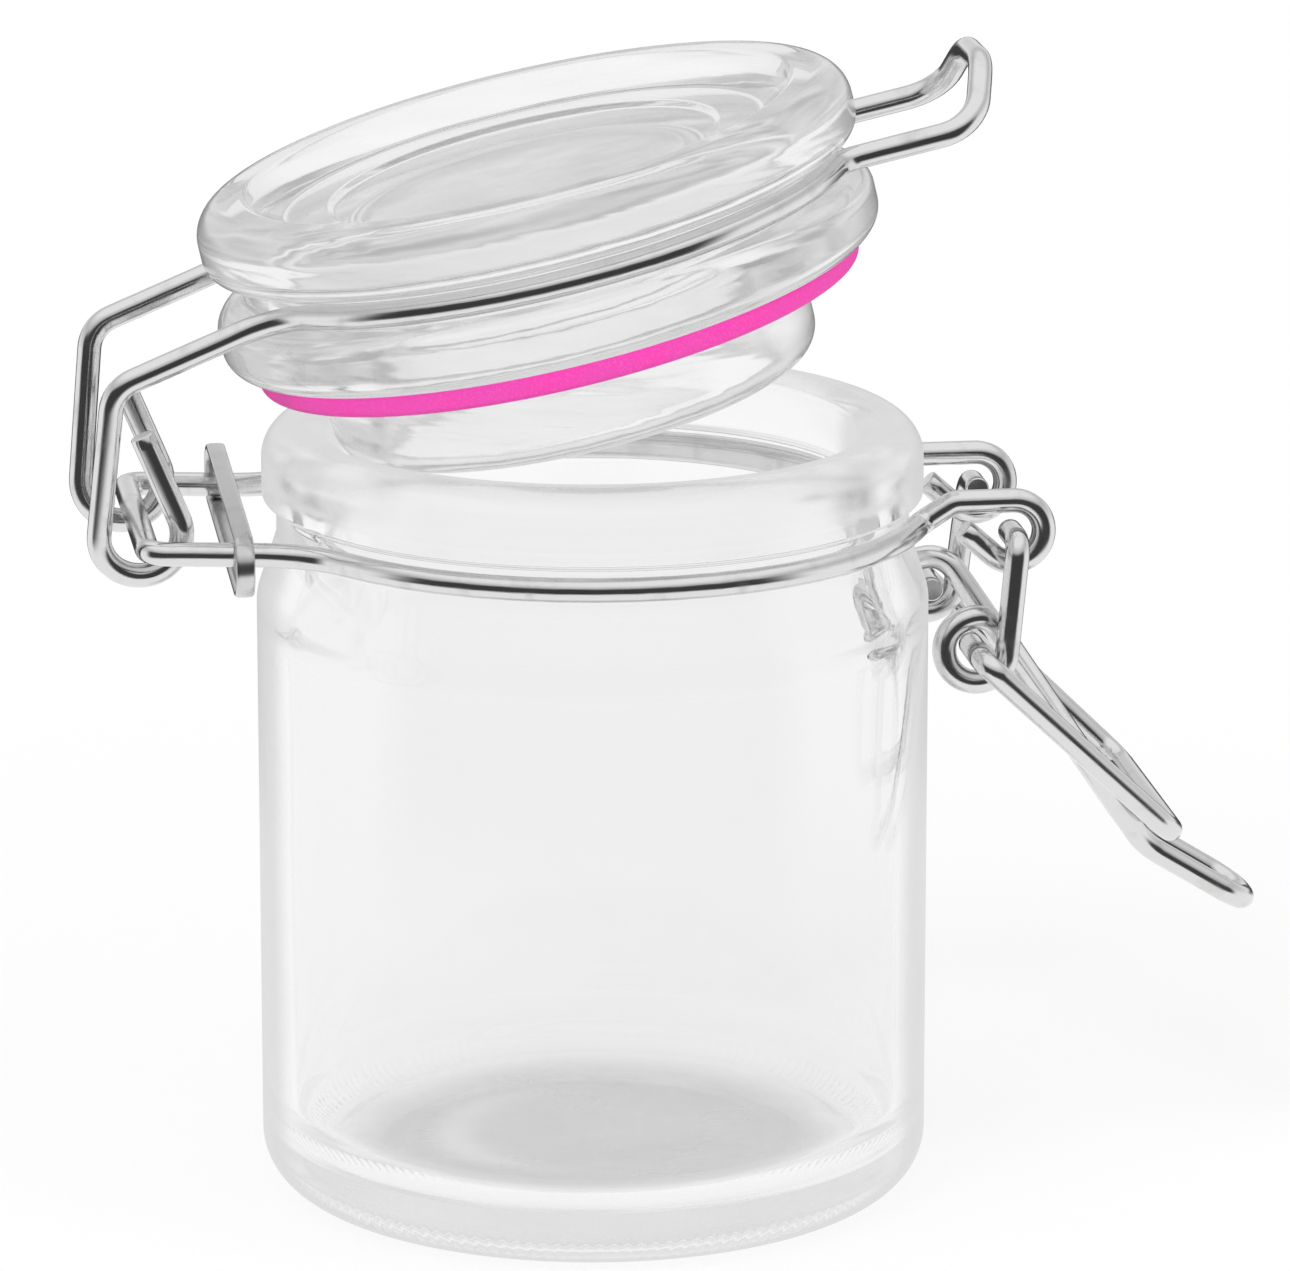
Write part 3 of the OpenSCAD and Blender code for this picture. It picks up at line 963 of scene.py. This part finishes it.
def make_clip():
    """A flattened wire bent round both back arms of the neck wire, narrower at its two ends."""
    middle_r = wire_d / 2 + clip_rise / 2 + seat_gap + clip_t / 2
    lean = math.atan(clip_rise / (2 * back_y))
    end_y = back_y / math.cos(lean)
    middle_x = -rim_r - clip_gap - clip_w / 2
    foot_x = flare_corner(neck_ring_r, back_y, -1, flare_r)[0].x
    arm_rise = (hinge.y - neck_z) * (middle_x - foot_x) / (hinge.x - foot_x)
    tilt = Matrix.Rotation(lean, 3, "X")
    mesh = bmesh.new()
    bands = []
    for i in range(STRIP_SIDES):
        across, through = flat_oval(2 * math.pi * i / STRIP_SIDES, clip_w, clip_t)
        band = []
        for p in link_outline(end_y, middle_r + through):
            narrowing = min(1, max(0, (abs(p.x) - end_y) / taper_l + 1))
            x = middle_x + across * (1 - taper_share * narrowing)
            at = tilt @ Vector((x, p.x, p.y)) + Vector((0, 0, neck_z + arm_rise))
            band.append(mesh.verts.new(at * MM))
        bands.append(band)
    for band, beside in zip(bands, bands[1:] + bands[:1]):
        bridge(mesh, band, beside)
    bmesh.ops.recalc_face_normals(mesh, faces=mesh.faces)
    data = mesh_data("cinch_clip_strip", mesh)
    place_piece("cinch_clip_strip", data, "jar", "cinch_clip", strip_material)


make_jar()
make_lid()
make_gasket()
make_lid_wire()
make_neck_wire()
make_lever()
make_clamp_loop()
make_clip()


# Studio

CAMERA_AZIMUTH = math.radians(-7.992)
CAMERA_ELEVATION = math.radians(14.468)
CAMERA_DISTANCE = 0.6756
CAMERA_ASIDE = 0.004363
CAMERA_HEIGHT = 0.046923
PHOTO_WIDTH = 1290
FOCAL_PIXELS = 8087
SENSOR = 36.0

WHITE = grey(1.0)
DARK = grey(0.05)
PLAIN_LIGHT = grey(0.62)
FLOOR_PAINT = grey(0.92)
FLOOR_HALF = 4.0
FLOOR_Z = -0.0001
FLOOR_FADE = (0.05, 0.2)
GLOW_AT_FOOT = 0.65
JAR_MIDDLE = (0, 0, 0.06)
LAMP_AIM = Vector((0, 0, 0.04))

# Brightness of the room from the horizon, at 0.5, to straight above, at 1
ROOM_IN_GLASS = [(0.5, 1.0), (0.62, 0.85), (0.8, 0.7), (1.0, 0.95)]
ROOM_IN_METAL = [(0.5, 1.0), (0.6, 0.8), (0.75, 0.6), (0.9, 1.0)]

# Ranges over which the room's dark ends fade in or out
BEHIND_CAMERA = (0.2, 0.55)
OPPOSITE = (0.5, 0.85)
ABOVE_HORIZON = (-0.05, 0.1)
HEIGHT_SQUARED = (0.08, 0.24)


def camera_back():
    """The direction from what the camera looks at to the camera."""
    level = math.cos(CAMERA_ELEVATION)
    x = math.sin(CAMERA_AZIMUTH) * level
    y = -math.cos(CAMERA_AZIMUTH) * level
    return Vector((x, y, math.sin(CAMERA_ELEVATION)))


def camera_right():
    return Vector((math.cos(CAMERA_AZIMUTH), math.sin(CAMERA_AZIMUTH), 0))


def dark_side(nodes, direction):
    """1 towards the unlit ends of the studio, a low band behind the camera and a lower one opposite."""
    to_camera = nodes.dot(direction, camera_right().cross(Vector((0, 0, 1))))
    height = nodes.axes(direction)[2]
    opposite = (0 - to_camera).smooth(*OPPOSITE) * (1 - height.smooth(*ABOVE_HORIZON))
    low = 1 - (height * height).smooth(*HEIGHT_SQUARED)
    return to_camera.smooth(*BEHIND_CAMERA).greater(opposite) * low


def mirror_ray(nodes):
    """1 for a ray that a surface mirrors, 0 for one that came through glass."""
    return nodes.path("Is Glossy Ray") * (1 - nodes.path("Is Transmission Ray"))


def pale_floor_finish(nodes):
    """A pale floor that keeps the soft shadow and stays near white behind the object.

    Seen in metal it is a glow, dark towards the studio's unlit ends: a painted reflection.
    """
    paint = nodes.principled(Base_Color=FLOOR_PAINT, Roughness=0.9, Specular_IOR_Level=0.0)
    place = nodes.place()
    from_jar = nodes.add("VectorMath", {"operation": "SUBTRACT"}, {0: place, 1: JAR_MIDDLE})
    way = nodes.add("VectorMath", {"operation": "NORMALIZE"}, {0: from_jar})
    mirrored = mirror_ray(nodes)
    # painted reflection: seen in metal, the floor glows dark towards the studio's unlit ends
    shade = nodes.mix(mirrored * dark_side(nodes, way), WHITE, DARK)
    x, y, _ = nodes.axes(place)
    far = from_axis(x, y).smooth(*FLOOR_FADE)
    seen = nodes.path("Is Camera Ray").greater(nodes.path("Is Transmission Ray"))
    share = seen * (GLOW_AT_FOOT + (1 - GLOW_AT_FOOT) * far)
    return nodes.blend(share.greater(mirrored), paint, nodes.glow(shade))


def make_floor():
    signs = ((-1, -1), (1, -1), (1, 1), (-1, 1))
    corners = [(x * FLOOR_HALF, y * FLOOR_HALF, FLOOR_Z) for x, y in signs]
    data = bpy.data.meshes.new("floor")
    data.from_pydata(corners, [], [(0, 1, 2, 3)])
    data.materials.append(make_material("pale_floor", pale_floor_finish))
    floor = bpy.data.objects.new("floor", data)
    bpy.context.scene.collection.objects.link(floor)


def make_world():
    """Plain soft light, a pale room for glass to bend, and a room with dark ends for metal to mirror."""
    world = bpy.data.worlds.new("studio")
    world.use_nodes = True
    nodes = Nodes(world.node_tree)
    direction = nodes.add("TexCoord", None, None, "Generated")
    height = nodes.axes(direction)[2] * 0.5 + 0.5
    bent = nodes.ramp(height, ROOM_IN_GLASS)
    mirrored = nodes.mix(dark_side(nodes, direction), nodes.ramp(height, ROOM_IN_METAL), DARK)
    plain = nodes.mix(nodes.path("Is Camera Ray"), PLAIN_LIGHT, WHITE)
    colour = nodes.mix(nodes.path("Is Transmission Ray"), plain, bent)
    colour = nodes.mix(mirror_ray(nodes), colour, mirrored)
    background = nodes.add("Background", None, {"Color": colour, "Strength": 1.0})
    nodes.add("OutputWorld", None, {"Surface": background})
    bpy.context.scene.world = world


def make_lamp(name, place, size, energy):
    """A round soft lamp that lights the object without showing in its metal or glass."""
    lamp = bpy.data.lights.new(name, "AREA")
    lamp.shape = "DISK"
    lamp.size = size
    lamp.energy = energy
    holder = bpy.data.objects.new(name, lamp)
    holder.location = place
    holder.rotation_euler = (LAMP_AIM - Vector(place)).to_track_quat("-Z", "Y").to_euler()
    holder.visible_glossy = False
    holder.visible_transmission = False
    bpy.context.scene.collection.objects.link(holder)


def make_camera():
    """Looks at the jar from the photograph's place."""
    target = camera_right() * CAMERA_ASIDE + Vector((0, 0, CAMERA_HEIGHT))
    back = camera_back()
    lens = bpy.data.cameras.new("camera")
    lens.sensor_fit = "HORIZONTAL"
    lens.sensor_width = SENSOR
    lens.lens = SENSOR * FOCAL_PIXELS / PHOTO_WIDTH
    lens.clip_start = 0.01
    holder = bpy.data.objects.new("camera", lens)
    holder.location = target + back * CAMERA_DISTANCE
    holder.rotation_euler = back.to_track_quat("Z", "Y").to_euler()
    bpy.context.scene.collection.objects.link(holder)
    bpy.context.scene.camera = holder


make_floor()
make_world()
make_lamp("key", place=(-0.45, -0.5, 0.75), size=0.5, energy=5.0)
make_lamp("fill", place=(0.6, -0.35, 0.5), size=0.5, energy=2.0)
make_camera()
bpy.context.scene.view_settings.view_transform = "Standard"
